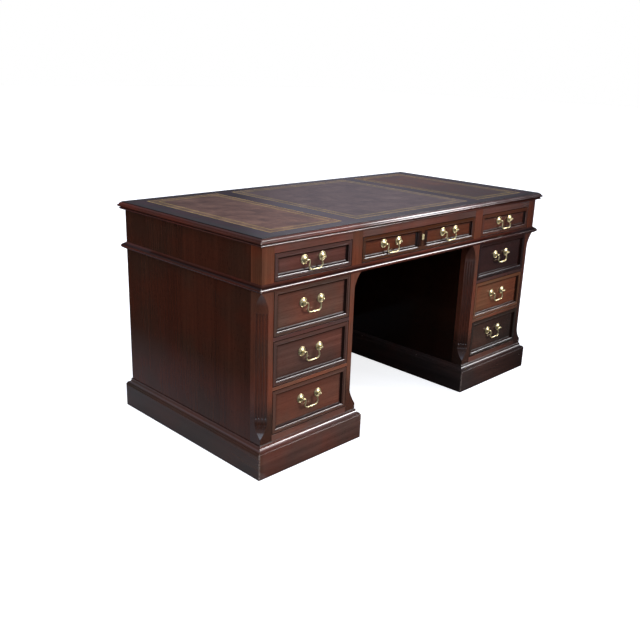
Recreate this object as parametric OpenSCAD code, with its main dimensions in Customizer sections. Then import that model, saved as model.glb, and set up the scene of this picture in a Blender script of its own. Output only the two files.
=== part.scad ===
// Kneehole pedestal desk in three parts: a top unit with a frieze of three drawers
// stands on two pedestals of three drawers each, and each pedestal on a moulded plinth.
// Millimetres. X runs along the desk, the drawer fronts face -Y, and Z is up.
// The origin is on the floor under the middle of the desk.

/* [Overall] */
// Width over the edge moulding of the top
desk_w = 1524; // [1460:2:1830]
// Depth over the edge moulding of the top
desk_d = 762; // [640:2:920]
// Height from the floor to the writing surface
desk_h = 762; // [740:1:800]
// Thickness of the case boards
board_t = 18; // [15:0.5:22]
// Thickness of the glue line between two pieces of one assembly
glue = 0.1; // [0.05:0.01:0.2]

/* [Top] */
// Thickness of the top
top_t = 26; // [24:0.5:34]
// How far the top stands out past the frieze on every side
top_out = 20; // [18:0.5:30]
// Width of the solid edging inside the face of the frieze
edging_in = 20; // [10:1:40]
// Reach of the small bead under the top's nose
edge_foot_out = 15; // [12:0.5:16]
// Radius of that small bead
edge_foot_r = 3; // [2:0.25:3.25]
// Groove between the small bead and the nose
edge_quirk = 2.5; // [1:0.25:3]
// Radius of the bead on the edge
edge_bead_r = 4; // [3:0.25:4.5]
// Height of the small step below the writing surface
edge_step = 2.5; // [1:0.25:4]
// Wood band between the side leathers and the short edges
leather_margin = 80; // [50:1:110]
// Wood band between the leathers and the long edges
leather_front = 56; // [44:1:110]
// Wood band between two leathers
leather_gap = 62; // [30:1:120]
// Width of each side leather
leather_side_w = 310; // [200:1:380]
// Thickness of the leather, and depth of its recess
leather_t = 1.5; // [1:0.1:3]
// Clearance around each leather in its recess
leather_clear = 0.3; // [0.1:0.1:1]

/* [Frieze and waist] */
// Height from the underside of the waist moulding to the underside of the top
frieze_h = 138; // [125:1:160]
// Height of the rail above the frieze drawers
frieze_top_rail = 27; // [20:1:36]
// Thickness of the rail below the frieze drawers
frieze_rail = 10; // [8:0.5:16]
// How far the waist moulding laps down over the pedestals
waist_lap = 14; // [8:0.5:20]
// Height of the waist moulding
waist_h = 23; // [18:0.5:23]
// How far the waist moulding stands out
waist_out = 15; // [12:0.5:22]
// Square edge under the waist moulding's nose
waist_foot = 1.5; // [1:0.25:3]

/* [Pedestals] */
// Width of each pedestal
ped_w = 427; // [360:1:460]
// Width and depth of the corner posts and of the frieze stiles
post_w = 48; // [42:1:60]
// Thickness of the rails between the drawers
rail_t = 12; // [10:0.5:20]
// Depth of the rails from front to back
rail_d = 60; // [50:1:90]
// Height of the rail below the bottom drawer
foot_rail_h = 41; // [36:1:60]
// Thickness of the pedestal's top board
lid_t = 12; // [9:0.5:14]
// How far the modesty panel stands in from the back
modesty_in = 20; // [5:1:80]
// Height of the modesty panel's lower edge above the floor
modesty_z = 120; // [0:1:300]

/* [Fluted corners] */
// Width of the corner chamfer on each face of the post
chamfer_w = 28; // [24:0.5:34]
// Height of the arched stop at the top of the chamfer
arch_h = 62; // [40:1:100]
// Height of the scooped stop at the foot of the chamfer
scoop_h = 58; // [40:1:100]
// Square corner left above the arch
arch_land = 3; // [2:0.5:20]
// Square corner left between the plinth moulding and the scoop
scoop_land = 22; // [5:1:40]
// Number of flutes on each corner
flutes = 4; // [2:1:4]
// Distance from one flute to the next
flute_pitch = 9.6; // [8:0.1:10]
// Radius of the flutes
flute_r = 3.2; // [2:0.1:3.6]
// Depth of the flutes
flute_depth = 2.4; // [1:0.1:2.6]
// Slope of a flute's floor where it runs out at each end
flute_tilt = 35; // [30:1:50]
// Plain chamfer between the ends of the flutes and the stops
flute_land = 2; // [0:0.5:20]

/* [Plinths] */
// Height of the plinth boards
plinth_h = 88; // [70:1:110]
// How far the plinth stands out past the pedestal
plinth_out = 17.5; // [15:0.5:24]
// How far the plinth boards reach in under the pedestal
plinth_in = 6.5; // [4:0.5:12]
// Rounding on the upper edge of the plinth boards
plinth_round = 3; // [1:0.5:4]
// Height of the cove moulding on the plinth
cove_h = 18; // [14:0.5:26]
// Height and thickness of the fillet above the cove
cove_fillet = 3.5; // [2:0.25:5]
// Leg of the glued blocks in the plinth's corners
block_leg = 40; // [20:1:60]
// Space between each glued block and the floor
block_clear = 6; // [2:1:20]

/* [Drawers] */
// Gap around a drawer front
front_gap = 1.5; // [1:0.1:3]
// Thickness of a drawer front
front_t = 22; // [18:0.5:26]
// Thickness of the drawer sides and back
side_t = 12; // [9:0.5:16]
// How much lower a drawer's sides are than its front
side_drop = 30; // [20:1:50]
// Thickness of the drawer bottoms
bottom_t = 6; // [4:0.5:9]
// Height of the drawer bottom's underside above the runners
bottom_up = 6; // [5.5:0.5:12]
// Free space behind the drawers
back_space = 122; // [40:1:200]
// Width of the runners under the drawer sides
runner_in = 20; // [14:1:40]
// Height of the guides beside the drawer sides
guide_h = 20; // [10:1:40]
// Height of the stops behind the drawer fronts
stop_h = 5; // [3:0.5:5]
// Width of the stops
stop_w = 40; // [20:1:80]
// Thickness of the stops
stop_t = 12; // [8:1:20]

/* [Drawer fronts] */
// Depth of the panel below the front's face
recess = 8; // [7:0.25:9]
// Width of the flat border
border_w = 10; // [6:0.2:10]
// Width of the border and its moulding together
frame_w = 20; // [20:0.5:30]
// Radius of the bead
front_bead_r = 3; // [2.5:0.1:3.2]
// Depth of the groove between border and bead
front_quirk = 1.6; // [1:0.1:2]
// Thickness of the cove's thin edge on the panel
cove_foot = 0.8; // [0.4:0.1:1.2]
// Width of the plain stile between the two panels of the centre drawer
centre_stile = 24; // [16:1:40]

/* [Handles] */
// Distance between the two posts of a handle
post_pitch = 76; // [70:1:90]
// Height of the posts above the middle of a pedestal drawer
post_up = 12.5; // [0:0.5:16]
// Height of the posts above the middle of a frieze drawer
frieze_post_up = 6.5; // [0:0.5:6.5]
// Diameter of the rosettes
rosette_d = 30; // [26:0.5:30]
// Thickness of the rosette's rim
rosette_rim = 1.2; // [0.8:0.1:2]
// Distance of the bail's axis from the panel
bail_out = 12.5; // [12.5:0.5:18]
// Radius of the ball on the post
ball_r = 4.4; // [4:0.1:5]
// Radius of the bail's pins
pin_r = 1.7; // [1.4:0.1:1.8]
// Running clearance around the pins
pin_clear = 0.08; // [0.05:0.01:0.1]
// How far a pin reaches past the middle of the ball
pin_past = 1.4; // [1:0.1:1.8]
// Free length of bore past the end of the pin
pin_end = 0.5; // [0.3:0.1:1]
// Radius of the bail's rod
rod_r = 2.1; // [1.9:0.05:2.3]
// Gap between the bail's shoulder and the ball
shoulder_gap = 0.2; // [0.1:0.05:0.6]
// Radius of the bail's neck bend
neck_r = 7.5; // [5:0.1:8]
// Angle that the neck turns through
neck_turn = 105; // [95:1:115]
// Length of the straight limb below the neck
limb = 8; // [4:0.5:9]
// Radius of the bail's lower bends
bow_r = 12; // [10:0.5:13]
// Radius of the two knops on the bail
knop_r = 3.3; // [3:0.1:3.4]
// Radius of the bail's grip at its middle
grip_r = 2.8; // [2.4:0.1:3]

/* [Lock] */
// Width of the lock case
lock_w = 56; // [40:1:80]
// Height of the lock case
lock_h = 44; // [38:1:60]
// Thickness of the lock case
lock_t = 13; // [11:0.5:16]
// Width of the bolt
bolt_w = 16; // [10:0.5:24]
// Thickness of the bolt
bolt_t = 7; // [5:0.5:8]
// Height of the bolt
bolt_h = 33; // [20:1:34]
// How far the bolt rises
bolt_throw = 8; // [5:0.5:9]
// Clearance around the bolt in its case
bolt_clear = 0.3; // [0.2:0.05:0.6]
// Clearance around the bolt in its mortise in the rail
mortise_clear = 1.5; // [0.8:0.1:2]
// Radius of the keyhole's round part
key_r = 2.2; // [1.8:0.1:2.6]
// Width of the keyhole's slot
key_slot = 2.4; // [1.6:0.1:3]
// Length of the keyhole's slot below its round part
key_drop = 8; // [6:0.5:10]
// Radius of the keyhole plate's ends
plate_r = 6; // [5:0.25:8]
// Thickness of the keyhole plate
plate_t = 1.5; // [1:0.1:2.5]

/* [Hidden] */

$fn = 64;
eps = 0.01;                                  // overshoot of a cutting shape
past = 5;                                    // reach of a cutter outside the piece
arc_n = 6;                                   // steps in a quarter of a moulding's curve

// The case's outer faces
body_w = desk_w - 2 * top_out;
body_d = desk_d - 2 * top_out;
x_out = -body_w / 2;                         // outer face of the left pedestal
x_in = x_out + ped_w;                        // kneehole face of the left pedestal
y_front = -body_d / 2;
y_back = body_d / 2;
y_inside = y_back - board_t;                 // inner face of the back boards

// Levels
top_z = desk_h - top_t;                      // underside of the top
waist_z = top_z - frieze_h;                  // underside of the waist moulding
ped_z = waist_z + waist_lap;                 // top of the pedestals
frieze_open_z = ped_z + frieze_rail;         // runners of the frieze drawers
frieze_open_top = top_z - frieze_top_rail;
open_z = plinth_h + foot_rail_h;             // runners of the lowest drawer
rows = 3;
front_h = (waist_z - open_z - (rows - 1) * rail_t) / rows - 2 * front_gap;
row_pitch = front_h + 2 * front_gap + rail_t;

// Openings for the drawers
open_x0 = x_out + post_w;                    // side drawers, left pair of edges
open_x1 = x_in - post_w;
centre_x = -x_in;                            // half of the centre opening
part_x = x_in - post_w / 2;                  // middle of the left frieze partition

// Drawer fronts and boxes
y_panel = y_front + recess;                  // face of the recessed panel
y_box = y_front + front_t;                   // back of the front, start of the box
box_len = y_inside - back_space - y_box;
frieze_front_h = frieze_open_top - frieze_open_z - 2 * front_gap;

// Section of a front's moulding, measured in from the border's outer edge
quirk_turn = 37;                             // where the bead leaves the groove
seat_turn = 204;                             // where the bead meets its ledge
bead_in = border_w + front_bead_r * cos(quirk_turn);
bead_up = recess - front_quirk - front_bead_r * sin(quirk_turn);
ledge_up = bead_up + front_bead_r * sin(seat_turn);
front_cove_r = 2 * (ledge_up - cove_foot);

// Chamfer of a fluted post, in the diagonal plane through its corner
cut_depth = chamfer_w / sqrt(2);
arch_r = (arch_h * arch_h + cut_depth * cut_depth) / (2 * cut_depth);
scoop_r = (scoop_h * scoop_h + cut_depth * cut_depth) / (2 * cut_depth);
scoop_z = plinth_h + cove_h + scoop_land;    // tip of the scoop
flat_z0 = scoop_z + scoop_h;
flat_z1 = waist_z - arch_land - arch_h;
flute_run = flute_r / sin(flute_tilt) - (flute_r - flute_depth) / tan(flute_tilt);

// Handles
y_pivot = y_panel - bail_out;
bail_x = post_pitch / 2 - ball_r - shoulder_gap;      // shoulder of the bail
neck_in = neck_r * sin(neck_turn);                    // reach of the neck bend
neck_drop = neck_r * (1 - cos(neck_turn));            // drop of the neck bend
limb_x = bail_x - neck_in - limb * cos(neck_turn);    // foot of the straight limb
limb_z = -neck_drop - limb * sin(neck_turn);
bow_x = limb_x - bow_r * sin(neck_turn);              // middle of the lower bend
bow_z = limb_z + bow_r * cos(neck_turn);
grip_z = bow_z - bow_r;                               // level of the grip
stouter = 0.15;                                       // each step that the rod gains
bite = 0.05;                                          // overlap of the rod's lengths
grip_thin = 0.8;                                      // waist of the grip at its ends
dome_r = 10.5;                                        // radius of the rosette's dome
dome_h = 3;
dome_sphere = (dome_r * dome_r + dome_h * dome_h) / (2 * dome_h);
ring_r = rosette_rim - glue;                          // bead around the rosette
stem_r = 2.8;                                         // stem between dome and ball
collar_r = 4.4;                                       // collar at the stem's foot
collar_h = 1.4;

// Lock
lock_top = frieze_open_top - front_gap - 3;           // top of the lock case
lock_y = y_box;                                       // the case is screwed to the front
bolt_y = lock_y + (lock_t - bolt_t) / 2;
bolt_rest_top = lock_top + 1;                         // the bolt just clears its case
key_z = frieze_open_z + front_gap + frieze_front_h / 2 + frieze_post_up;
plate_half = 5;                                       // half distance between plate ends

// ---- Helpers ----------------------------------------------------------------

// A board given by its two opposite corners
module board(from, to) {
    translate(from) cube(to - from);
}

// Points along an arc, for the outline of a moulding
function arc(cx, cy, r, a0, a1, n = arc_n) =
    [for (i = [0:n]) let (a = a0 + (a1 - a0) * i / n) [cx + r * cos(a), cy + r * sin(a)]];

// One mitred length along +X: its section lies in (out, up) between out = a and out = b,
// and its ends are cut at 45 degrees so that four of them close a ring
module mitred_length(len, a, b, up) {
    g = glue / sqrt(2);
    intersection() {
        translate([-abs(b) - past, 0, 0]) rotate([90, 0, 90])
            linear_extrude(height = len + 2 * (abs(b) + past)) children();
        translate([0, 0, -past]) linear_extrude(height = up + 2 * past)
            polygon([[g - a, a], [len + a - g, a], [len + b - g, b], [g - b, b]]);
    }
}

// Four mitred lengths around a rectangle w by d; the section stands outwards
module mitred_ring(w, d, a, b, up) {
    for (side = [0:3]) {
        len = side % 2 == 0 ? w : d;
        off = side % 2 == 0 ? d / 2 : w / 2;
        rotate([0, 0, 90 * side]) translate([-len / 2, off, 0])
            mitred_length(len, a, b, up) children();
    }
}

module both_sides() {
    children();
    mirror([1, 0, 0]) children();
}

// ---- Top --------------------------------------------------------------------

module top_edge_section() {
    foot_x = edge_foot_out - edge_foot_r;
    bead_x = top_out - edge_bead_r;
    bead_z = 2 * edge_foot_r + edge_quirk + edge_bead_r;
    thumb_r = top_t - edge_step - bead_z - edge_bead_r;
    thumb_x = bead_x - 0.5 - thumb_r;
    polygon(concat(
        [[-edging_in, 0]],
        arc(foot_x, edge_foot_r, edge_foot_r, -90, 90, 2 * arc_n),
        [[foot_x, bead_z - edge_bead_r]],
        arc(bead_x, bead_z, edge_bead_r, -90, 90, 2 * arc_n),
        arc(thumb_x, bead_z + edge_bead_r, thumb_r, 0, 90),
        [[thumb_x, top_t], [-edging_in, top_t]]));
}

module top_edge_moulding() {
    color("saddlebrown") translate([0, 0, top_z])
        mitred_ring(body_w, body_d, -edging_in, top_out, top_t) top_edge_section();
}

side_leather_x = desk_w / 2 - leather_margin - leather_side_w / 2;
centre_leather_w = desk_w - 2 * (leather_margin + leather_side_w + leather_gap);
leather_d = desk_d - 2 * leather_front;

// The slab that a leather fills, smaller all round by clear and thicker upwards by over
module leather_slab(x, w, clear, over = 0) {
    translate([x, 0, desk_h - leather_t]) linear_extrude(height = leather_t + over)
        square([w - 2 * clear, leather_d - 2 * clear], center = true);
}

module top_board() {
    half_w = body_w / 2 - edging_in;
    half_d = body_d / 2 - edging_in;
    color("saddlebrown") difference() {
        board([-half_w, -half_d, top_z], [half_w, half_d, desk_h]);
        leather_slab(-side_leather_x, leather_side_w, 0, eps);
        leather_slab(0, centre_leather_w, 0, eps);
        leather_slab(side_leather_x, leather_side_w, 0, eps);
    }
}

module leather_left() {
    color("sienna") leather_slab(-side_leather_x, leather_side_w, leather_clear);
}

module leather_centre() {
    color("sienna") leather_slab(0, centre_leather_w, leather_clear);
}

module leather_right() {
    color("sienna") leather_slab(side_leather_x, leather_side_w, leather_clear);
}

// ---- Frieze -----------------------------------------------------------------

// End boards and back board of the top unit
module frieze_case() {
    color("maroon") {
        both_sides()
            board([x_out, y_front + post_w, ped_z], [x_out + board_t, y_back, top_z]);
        board([x_out + board_t + glue, y_inside, ped_z],
              [-x_out - board_t - glue, y_back, top_z]);
    }
}

// Corner posts and dividers of the frieze
module frieze_stiles() {
    color("brown") both_sides() for (x = [x_out, open_x1])
        board([x, y_front, ped_z], [x + post_w, y_front + post_w, top_z]);
}

// Rails above and below the frieze drawers; the centre one has the mortise for the bolt
module frieze_rails() {
    y1 = y_front + post_w;
    color("brown") {
        both_sides() {
            board([open_x0, y_front, ped_z], [open_x1, y1, frieze_open_z]);
            board([open_x0, y_front, frieze_open_top], [open_x1, y1, top_z]);
        }
        board([-centre_x, y_front, ped_z], [centre_x, y1, frieze_open_z]);
        difference() {
            board([-centre_x, y_front, frieze_open_top], [centre_x, y1, top_z]);
            board([-bolt_w / 2 - mortise_clear, bolt_y - mortise_clear, frieze_open_top - eps],
                  [bolt_w / 2 + mortise_clear, bolt_y + bolt_t + mortise_clear,
                   bolt_rest_top + bolt_throw + mortise_clear]);
        }
    }
}

// Runner under one side of a drawer, its guide and their reach from x0 (the case) to x1
// (the opening's edge); dir points into the opening
module runner_and_guide(x0, x1, z, t, y0, dir) {
    reach = x1 + dir * runner_in;
    board([min(x0, reach), y0, z - t], [max(x0, reach), y_inside, z]);
    board([min(x0, x1), y0, z + glue], [max(x0, x1), y_inside, z + guide_h]);
}

// Stop that the back of a drawer front closes against
module drawer_stop(x, z) {
    board([x - stop_w / 2, y_box, z], [x + stop_w / 2, y_box + stop_t, z + stop_h]);
}

// Partitions of the frieze with the runners, guides and stops of its drawers
module frieze_runners() {
    y0 = y_front + post_w;
    z = frieze_open_z;
    part_half = board_t / 2 + glue;
    color("burlywood") {
        both_sides() {
            board([part_x - board_t / 2, y0, ped_z], [part_x + board_t / 2, y_inside, top_z]);
            runner_and_guide(x_out + board_t, open_x0, z, frieze_rail, y0, 1);
            runner_and_guide(part_x - part_half, open_x1, z, frieze_rail, y0, -1);
            runner_and_guide(part_x + part_half, -centre_x, z, frieze_rail, y0, 1);
            drawer_stop((open_x0 + open_x1) / 2, frieze_open_z);
            drawer_stop(-centre_x / 2, frieze_open_z);
        }
    }
}

// ---- Waist moulding ---------------------------------------------------------

module waist_section() {
    r = waist_h / 3;
    x = waist_out - r;
    z = r + waist_foot;
    rise = waist_h - z;
    turn = atan2(rise, -x) - acos(r / norm([x, rise]));
    polygon(concat([[0, 0], [x, 0]], arc(x, z, r, -90, turn, 2 * arc_n), [[0, waist_h]]));
}

module waist_moulding() {
    color("brown") translate([0, 0, waist_z])
        mitred_ring(body_w, body_d, 0, waist_out, waist_h) waist_section();
}

module modesty_panel() {
    y1 = y_back - modesty_in;
    color("maroon") board([-centre_x, y1 - board_t, modesty_z], [centre_x, y1, ped_z]);
}

// ---- Pedestals (drawn on the left, mirrored for the right) --------------------

module pedestal_case() {
    x0 = x_out + board_t + glue;
    x1 = x_in - board_t - glue;
    y0 = y_front + post_w;
    y1 = y_inside - glue;
    board([x_out, y0, plinth_h], [x_out + board_t, y_back, ped_z]);
    board([x_in - board_t, y0, plinth_h], [x_in, y_back, ped_z]);
    board([x0, y_inside, plinth_h], [x1, y_back, ped_z]);
    board([x0, y_front + rail_d, plinth_h], [x1, y1, plinth_h + board_t]);
    board([x0, y_front + rail_d, ped_z - lid_t], [x1, y1, ped_z]);
}

// Outline of the chamfer cut, with depth across and height up: the plain chamfer
// sweeps out to the corner along an arc at each end
module chamfer_profile() {
    arch_turn = acos(1 - cut_depth / arch_r);
    scoop_turn = acos(1 - cut_depth / scoop_r);
    polygon(concat(
        [[-past, flat_z0 - scoop_h]],
        arc(cut_depth - scoop_r, flat_z0, scoop_r, -scoop_turn, 0, 2 * arc_n),
        arc(cut_depth - arch_r, flat_z1, arch_r, 0, arch_turn, 2 * arc_n),
        [[-past, flat_z1 + arch_h]]));
}

// Everything within reach below the plane where a flute turns outwards
module below_turn(reach) {
    rotate([0, -flute_tilt / 2, 0]) translate([-reach, -2 * flute_r, -2 * reach])
        cube([2 * reach, 4 * flute_r, 2 * reach]);
}

// Cutter that runs out of the wood at the end of a flute
module flute_end() {
    reach = 4 * flute_r;
    difference() {
        rotate([0, -flute_tilt, 0]) translate([0, 0, -flute_r])
            cylinder(r = flute_r, h = reach + flute_r);
        translate([0, 0, -bite]) below_turn(reach);
    }
}

// Cutter of one flute, with its axis parallel to the chamfer
module flute_cutter(len) {
    intersection() {
        translate([0, 0, -flute_r]) cylinder(r = flute_r, h = len + 2 * flute_r);
        translate([0, 0, len]) below_turn(2 * len);
        mirror([0, 0, 1]) below_turn(2 * len);
    }
    translate([0, 0, len]) flute_end();
    mirror([0, 0, 1]) flute_end();
}

// Corner post with its outer corner at x = y = 0, standing in +X +Y
module fluted_post() {
    z0 = flat_z0 + flute_land + flute_run;
    z1 = flat_z1 - flute_land - flute_run;
    difference() {
        translate([0, 0, plinth_h]) cube([post_w, post_w, ped_z - plinth_h]);
        rotate([0, 0, 45]) {
            rotate([90, 0, 0]) linear_extrude(height = 2 * post_w, center = true)
                chamfer_profile();
            for (i = [0:flutes - 1])
                translate([cut_depth + flute_depth - flute_r,
                           (i - (flutes - 1) / 2) * flute_pitch, z0])
                    flute_cutter(z1 - z0);
        }
    }
}

module pedestal_posts() {
    translate([x_out, y_front, 0]) fluted_post();
    translate([x_in, y_front, 0]) mirror([1, 0, 0]) fluted_post();
}

module pedestal_rails() {
    y1 = y_front + rail_d;
    board([open_x0, y_front, plinth_h], [open_x1, y1, open_z]);
    for (row = [1:rows - 1])
        board([open_x0, y_front, open_z + row * row_pitch - rail_t],
              [open_x1, y1, open_z + row * row_pitch]);
    board([open_x0, y_front, waist_z], [open_x1, y1, ped_z]);
}

module pedestal_runners() {
    y0 = y_front + rail_d;
    for (row = [0:rows - 1]) {
        z = open_z + row * row_pitch;
        runner_and_guide(x_out + board_t, open_x0, z, rail_t, y0, 1);
        runner_and_guide(x_in - board_t, open_x1, z, rail_t, y0, -1);
        drawer_stop((open_x0 + open_x1) / 2, z);
    }
}

module plinth_board_section() {
    polygon(concat(
        [[-plinth_in, 0], [plinth_out, 0]],
        arc(plinth_out - plinth_round, plinth_h - plinth_round, plinth_round, 0, 90),
        [[-plinth_in, plinth_h]]));
}

module plinth_cove_section() {
    r = cove_h - 2 * cove_fillet;
    polygon(concat(
        [[0, glue], [cove_fillet + r, glue]],
        arc(cove_fillet + r, cove_h - cove_fillet, r, 270, 180),
        [[cove_fillet, cove_h], [0, cove_h]]));
}

// Mitred boards on the floor, glued blocks in their corners and the cove on top
module pedestal_plinth() {
    inset = plinth_in + glue;
    translate([(x_out + x_in) / 2, 0, 0]) {
        mitred_ring(ped_w, body_d, -plinth_in, plinth_out, plinth_h) plinth_board_section();
        translate([0, 0, plinth_h])
            mitred_ring(ped_w, body_d, 0, plinth_out, cove_h) plinth_cove_section();
        for (sx = [-1, 1], sy = [-1, 1])
            translate([sx * (ped_w / 2 - inset), sy * (body_d / 2 - inset), block_clear])
                linear_extrude(height = plinth_h - block_clear)
                    polygon([[0, 0], [-sx * block_leg, 0], [0, -sy * block_leg]]);
    }
}

module left_case() { color("maroon") pedestal_case(); }
module left_posts() { color("brown") pedestal_posts(); }
module left_rails() { color("brown") pedestal_rails(); }
module left_runners() { color("burlywood") pedestal_runners(); }
module left_plinth() { color("maroon") pedestal_plinth(); }
module right_case() { mirror([1, 0, 0]) left_case(); }
module right_posts() { mirror([1, 0, 0]) left_posts(); }
module right_rails() { mirror([1, 0, 0]) left_rails(); }
module right_runners() { mirror([1, 0, 0]) left_runners(); }
module right_plinth() { mirror([1, 0, 0]) left_plinth(); }

// ---- Drawers ----------------------------------------------------------------

// Border, groove, bead, ledge and cove of a front, from its outer edge inwards
module front_section() {
    polygon(concat(
        [[0, glue], [-frame_w, glue]],
        arc(-frame_w, cove_foot + front_cove_r, front_cove_r, 270, 330),
        arc(-bead_in, bead_up, front_bead_r, seat_turn, quirk_turn, 2 * arc_n),
        [[-border_w, recess], [0, recess]]));
}

// Mitred frame with its corners at (x0, z0) and (x1, z1), standing on the panel
module front_frame(x0, z0, x1, z1) {
    translate([(x0 + x1) / 2, y_panel, (z0 + z1) / 2]) rotate([90, 0, 0])
        mitred_ring(x1 - x0, z1 - z0, 0, -frame_w, recess) front_section();
}

// Front of a side drawer: flat panel with one frame
module drawer_front(x0, x1, z, h) {
    xa = x0 + front_gap;
    xb = x1 - front_gap;
    za = z + front_gap;
    color("brown") {
        board([xa, y_panel, za], [xb, y_box, za + h]);
        front_frame(xa, za, xb, za + h);
    }
}

// Sides, back and bottom of a drawer that stands on runners at height z
module drawer_box(x0, x1, z, h) {
    xa = x0 + front_gap;
    xb = x1 - front_gap;
    xc = xa + side_t + glue;
    xd = xb - side_t - glue;
    y1 = y_box + box_len;
    zb = z + bottom_up;
    color("burlywood") {
        board([xa, y_box, z], [xa + side_t, y1, z + h]);
        board([xb - side_t, y_box, z], [xb, y1, z + h]);
        board([xc, y1 - side_t, zb + bottom_t + glue], [xd, y1, z + h]);
        board([xc, y_box, zb], [xd, y1, zb + bottom_t]);
    }
}

// ---- Handles ----------------------------------------------------------------

// Half outline of a rosette, its stem and its ball, turned about the stem
module rosette_outline() {
    square([rosette_d / 2, rosette_rim]);
    translate([rosette_d / 2 - 1.2 * ring_r, rosette_rim]) circle(r = ring_r, $fn = 32);
    intersection() {
        translate([0, rosette_rim + dome_h - dome_sphere]) circle(r = dome_sphere);
        translate([0, eps]) square([dome_r, rosette_rim + dome_h]);
    }
    square([collar_r, rosette_rim + dome_h + collar_h]);
    square([stem_r, bail_out]);
    intersection() {
        translate([0, bail_out]) circle(r = ball_r);
        square([ball_r, bail_out + ball_r]);
    }
}

// Rosette and post at one end of a handle; side is -1 at the left end
module rosette(side) {
    hole = ball_r + pin_past + pin_end;
    translate([side * post_pitch / 2, 0, 0]) difference() {
        rotate([90, 0, 0]) rotate_extrude() rosette_outline();
        translate([side * (pin_past + pin_end), -bail_out, 0]) rotate([0, -side * 90, 0])
            cylinder(r = pin_r + pin_clear, h = hole + past, $fn = 32);
    }
}

module handle_plates(x, z) {
    color("gold") translate([x, y_panel, z]) {
        rosette(-1);
        rosette(1);
    }
}

// Half of a bail hanging from its axis at x = z = 0: pin, neck bend and lower bend
module bail_half() {
    pin_len = post_pitch / 2 + pin_past - bail_x;
    translate([bail_x, 0, 0]) rotate([0, 90, 0]) cylinder(r = pin_r, h = pin_len, $fn = 32);
    translate([bail_x, 0, -neck_r]) rotate([90, 0, 0])
        rotate([0, 0, 90]) rotate_extrude(angle = neck_turn)
            translate([neck_r, 0]) circle(r = rod_r, $fn = 24);
    translate([limb_x, 0, limb_z]) rotate([0, 90 - neck_turn, 0]) translate([0, 0, -bite])
        cylinder(r = rod_r + stouter, h = limb + 2 * bite, $fn = 24);
    translate([bow_x, 0, bow_z]) rotate([90, 0, 0])
        rotate([0, 0, -90]) rotate_extrude(angle = neck_turn)
            translate([bow_r, 0]) circle(r = rod_r + 2 * stouter, $fn = 24);
}

// Turned grip between the lower bends, with a knop at each end
module bail_grip() {
    swell_r = (bow_x * bow_x + grip_thin * grip_thin) / (2 * grip_thin);
    translate([0, 0, grip_z]) rotate([0, 90, 0]) rotate_extrude() intersection() {
        union() {
            for (s = [-1, 1]) translate([0, s * bow_x]) circle(r = knop_r, $fn = 32);
            intersection() {
                translate([grip_r - swell_r, 0]) circle(r = swell_r, $fn = 360);
                translate([0, -bow_x]) square([grip_r, 2 * bow_x]);
            }
        }
        translate([0, -bow_x - knop_r]) square([knop_r, 2 * (bow_x + knop_r)]);
    }
}

module bail(x, z) {
    color("gold") translate([x, y_pivot, z]) {
        both_sides() bail_half();
        bail_grip();
    }
}

// ---- Side drawers: pedestal drawers by row, frieze drawers above them ----------

side_x = (open_x0 + open_x1) / 2;            // middle of the left side drawers
frieze_z = frieze_open_z + front_gap + frieze_front_h / 2 + frieze_post_up;
function row_z(row) = open_z + row * row_pitch;
function row_handle_z(row) = row_z(row) + front_gap + front_h / 2 + post_up;

module row_front(row) { drawer_front(open_x0, open_x1, row_z(row), front_h); }
module row_box(row) { drawer_box(open_x0, open_x1, row_z(row), front_h - side_drop); }
module row_plates(row) { handle_plates(side_x, row_handle_z(row)); }
module row_bail(row) { bail(side_x, row_handle_z(row)); }

module frieze_left_front() {
    drawer_front(open_x0, open_x1, frieze_open_z, frieze_front_h);
}
module frieze_left_box() {
    drawer_box(open_x0, open_x1, frieze_open_z, frieze_front_h - side_drop / 2);
}
module frieze_left_plates() { handle_plates(side_x, frieze_z); }
module frieze_left_bail() { bail(side_x, frieze_z); }
module frieze_right_front() { mirror([1, 0, 0]) frieze_left_front(); }
module frieze_right_box() { mirror([1, 0, 0]) frieze_left_box(); }
module frieze_right_plates() { mirror([1, 0, 0]) frieze_left_plates(); }
module frieze_right_bail() { mirror([1, 0, 0]) frieze_left_bail(); }

module left_upper_front() { row_front(2); }
module left_upper_box() { row_box(2); }
module left_upper_plates() { row_plates(2); }
module left_upper_bail() { row_bail(2); }
module left_middle_front() { row_front(1); }
module left_middle_box() { row_box(1); }
module left_middle_plates() { row_plates(1); }
module left_middle_bail() { row_bail(1); }
module left_lower_front() { row_front(0); }
module left_lower_box() { row_box(0); }
module left_lower_plates() { row_plates(0); }
module left_lower_bail() { row_bail(0); }
module right_upper_front() { mirror([1, 0, 0]) row_front(2); }
module right_upper_box() { mirror([1, 0, 0]) row_box(2); }
module right_upper_plates() { mirror([1, 0, 0]) row_plates(2); }
module right_upper_bail() { mirror([1, 0, 0]) row_bail(2); }
module right_middle_front() { mirror([1, 0, 0]) row_front(1); }
module right_middle_box() { mirror([1, 0, 0]) row_box(1); }
module right_middle_plates() { mirror([1, 0, 0]) row_plates(1); }
module right_middle_bail() { mirror([1, 0, 0]) row_bail(1); }
module right_lower_front() { mirror([1, 0, 0]) row_front(0); }
module right_lower_box() { mirror([1, 0, 0]) row_box(0); }
module right_lower_plates() { mirror([1, 0, 0]) row_plates(0); }
module right_lower_bail() { mirror([1, 0, 0]) row_bail(0); }

// ---- Centre drawer: two panels, two handles and the lock -----------------------

centre_half = centre_x - front_gap;                   // half width of the centre front
centre_handle_x = (centre_half + centre_stile / 2) / 2;

// Outline of the keyhole, with its round part at the origin
module keyhole() {
    circle(r = key_r, $fn = 32);
    translate([-key_slot / 2, -key_drop]) square([key_slot, key_drop]);
}

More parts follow.
